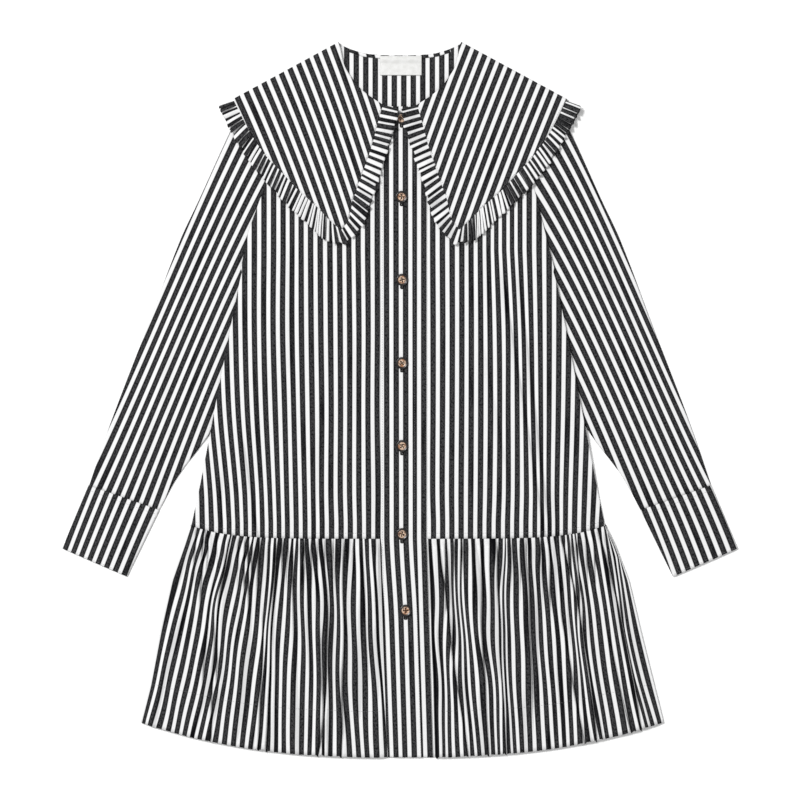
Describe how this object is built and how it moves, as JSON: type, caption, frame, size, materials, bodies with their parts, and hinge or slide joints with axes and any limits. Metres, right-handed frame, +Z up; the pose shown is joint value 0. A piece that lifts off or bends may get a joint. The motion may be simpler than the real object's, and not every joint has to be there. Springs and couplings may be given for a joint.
{
  "type": "shirt dress",
  "caption": "Flat-laid drop-waist shirt dress in striped poplin, with a ruffled pointed collar, deep cuffs, a buttoned front and a gathered tier.",
  "frame": {"origin": "on the table, under the middle of the laid garment", "axes": "+X to the right of the lay seen from above, +Y from hem to neck, +Z up from the table"},
  "size_m": [0.8438, 0.894, 0.0134],
  "materials": {
    "poplin": "charcoal and white striped cotton poplin",
    "poplin_trim": "the same striped poplin, doubled and interfaced",
    "label": "bare white woven tape",
    "button": "mottled brown resin, polished"
  },
  "bodies": {
    "root": {"bodice_back": "poplin", "bodice_front_left": "poplin", "bodice_front_right": "poplin", "placket_over": "poplin_trim", "placket_under": "poplin_trim", "skirt_back": "poplin", "skirt_front_left": "poplin", "skirt_front_right": "poplin", "sleeve_left": "poplin", "sleeve_right": "poplin", "cuff_left": "poplin_trim", "cuff_right": "poplin_trim", "collar": "poplin_trim", "ruffle_left": "poplin_trim", "ruffle_right": "poplin_trim", "ruffle_back": "poplin_trim", "neck_binding": "poplin_trim", "neck_label": "label", "button_1": "button", "button_2": "button", "button_3": "button", "button_4": "button", "button_5": "button", "button_6": "button", "button_7": "button"}
  },
  "joints": []
}
